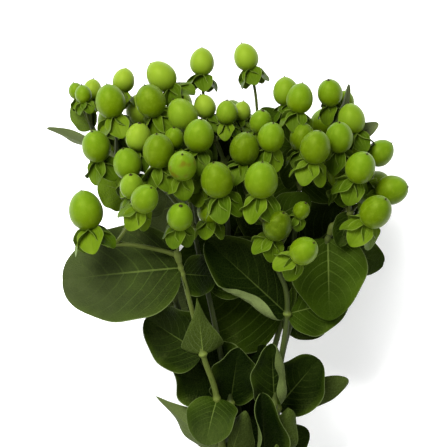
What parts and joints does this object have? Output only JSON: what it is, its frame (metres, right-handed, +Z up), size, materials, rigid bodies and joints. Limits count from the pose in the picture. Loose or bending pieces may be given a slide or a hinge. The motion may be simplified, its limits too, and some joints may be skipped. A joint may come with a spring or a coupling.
{
  "type": "hypericum berry stem bunch",
  "caption": "Cut bunch of leafy hypericum stems with sprays of green berries, tied with a rubber band and lying on its side.",
  "frame": {"origin": "under the middle of the bunch, on the surface it lies on", "axes": "+Y from the cut ends to the berries, +Z up, +X to the right as seen from above with the berries away from the viewer"},
  "size_m": [0.1446, 0.4008, 0.0954],
  "materials": {
    "leaf": "semi-matte dark green leaf with paler veins and margin",
    "stalk": "satin olive-green stalk",
    "berry": "satin yellow-green berry",
    "sepal": "matte light green sepal with pale parallel veins",
    "band": "plain tan rubber"
  },
  "bodies": {
    "root": {"stem_a_leafy": "leaf", "stem_a_berries": "berry", "stem_b_leafy": "leaf", "stem_b_berries": "berry", "stem_c_leafy": "leaf", "stem_c_berries": "berry", "stem_d_leafy": "leaf", "stem_d_berries": "berry", "stem_e_leafy": "leaf", "stem_e_berries": "berry", "stem_f_leafy": "leaf", "stem_f_berries": "berry", "stem_g_leafy": "leaf", "stem_g_berries": "berry", "stem_h_leafy": "leaf", "stem_h_berries": "berry", "rubber_band": "band"}
  },
  "joints": []
}
